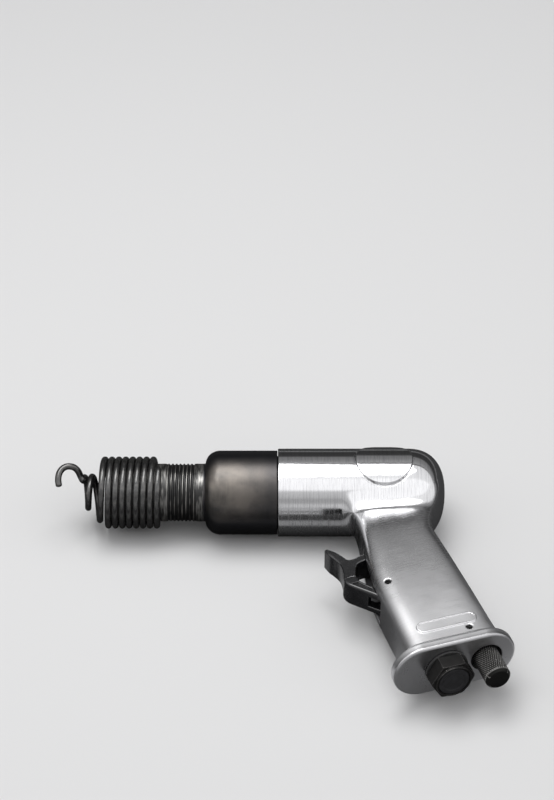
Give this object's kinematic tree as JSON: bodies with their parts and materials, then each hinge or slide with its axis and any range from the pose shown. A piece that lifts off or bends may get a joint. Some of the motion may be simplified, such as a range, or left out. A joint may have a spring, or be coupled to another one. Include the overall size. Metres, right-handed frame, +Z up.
{
  "type": "pneumatic air hammer",
  "caption": "Pistol-grip pneumatic air hammer with a polished aluminium housing, black steel barrel, coil retainer spring, trigger, hex air inlet and knurled regulator.",
  "frame": {"origin": "bottom centre of the tool's box, lying on its side", "axes": "+X from the nose to the rear along the barrel, -Y down the grip, +Z up across the tool's width"},
  "size_m": [0.2256, 0.1616, 0.0458],
  "materials": {
    "polished_aluminium": "polished casting, brushed on the grip",
    "black_steel": "black oxide, semi-gloss, worn crests",
    "spring_black": "black spring wire, semi-gloss",
    "trigger_black": "glossy black moulding",
    "bright_steel": "ground steel",
    "brass": "turned brass",
    "rubber": "matte nitrile rubber",
    "plug_black": "matte black plastic"
  },
  "bodies": {
    "housing": {"housing": "polished_aluminium", "barrel": "black_steel", "barrel_seal_ring": "rubber", "valve_case_front": "bright_steel", "valve_case_rear": "bright_steel", "valve_dowel": "bright_steel", "valve_gasket": "rubber", "trigger_pin": "bright_steel", "throttle_bushing": "brass", "bushing_seal_ring": "rubber", "throttle_spring": "bright_steel", "inlet_bushing": "black_steel", "inlet_washer": "rubber", "inlet_screen": "brass", "regulator_pin": "bright_steel"},
    "piston": {"piston": "bright_steel"},
    "valve_disc": {"valve_disc": "bright_steel"},
    "trigger": {"trigger": "trigger_black"},
    "throttle_stem": {"throttle_stem": "bright_steel"},
    "regulator": {"regulator": "black_steel", "regulator_seal_ring": "rubber"},
    "retainer_spring": {"retainer_spring": "spring_black"},
    "inlet_plug": {"inlet_plug": "plug_black"}
  },
  "joints": [
    {"name": "piston_slide", "type": "slide", "parent": "housing", "child": "piston", "axis": [-1, 0, 0], "range_m": [0, 0.0409]},
    {"name": "valve_slide", "type": "slide", "parent": "housing", "child": "valve_disc", "axis": [-1, 0, 0], "range_m": [0, 0.0018]},
    {"name": "trigger_hinge", "type": "hinge", "parent": "housing", "child": "trigger", "pos_m": [0.05351, -0.02365, 0.0225], "axis": [0, 0, -1], "range_deg": [0, 8]},
    {"name": "throttle_slide", "type": "slide", "parent": "housing", "child": "throttle_stem", "axis": [0.9511, 0.309, 0], "range_m": [0, 0.004], "deforming": ["throttle_spring"]},
    {"name": "regulator_turn", "type": "hinge", "parent": "housing", "child": "regulator", "pos_m": [0.10068, -0.06721, 0.0225], "axis": [0.309, -0.9511, 0], "continuous": true},
    {"name": "retainer_turn", "type": "hinge", "parent": "housing", "child": "retainer_spring", "pos_m": [-0.0744, 0.05833, 0.0225], "axis": [1, 0, 0], "continuous": true},
    {"name": "inlet_plug_pull", "type": "slide", "parent": "housing", "child": "inlet_plug", "axis": [0.309, -0.9511, 0], "range_m": [0, 0.03]}
  ],
  "couplings": [
    {"joint": "throttle_slide", "follows": "trigger_hinge", "m_per_rad": 0.0278}
  ]
}
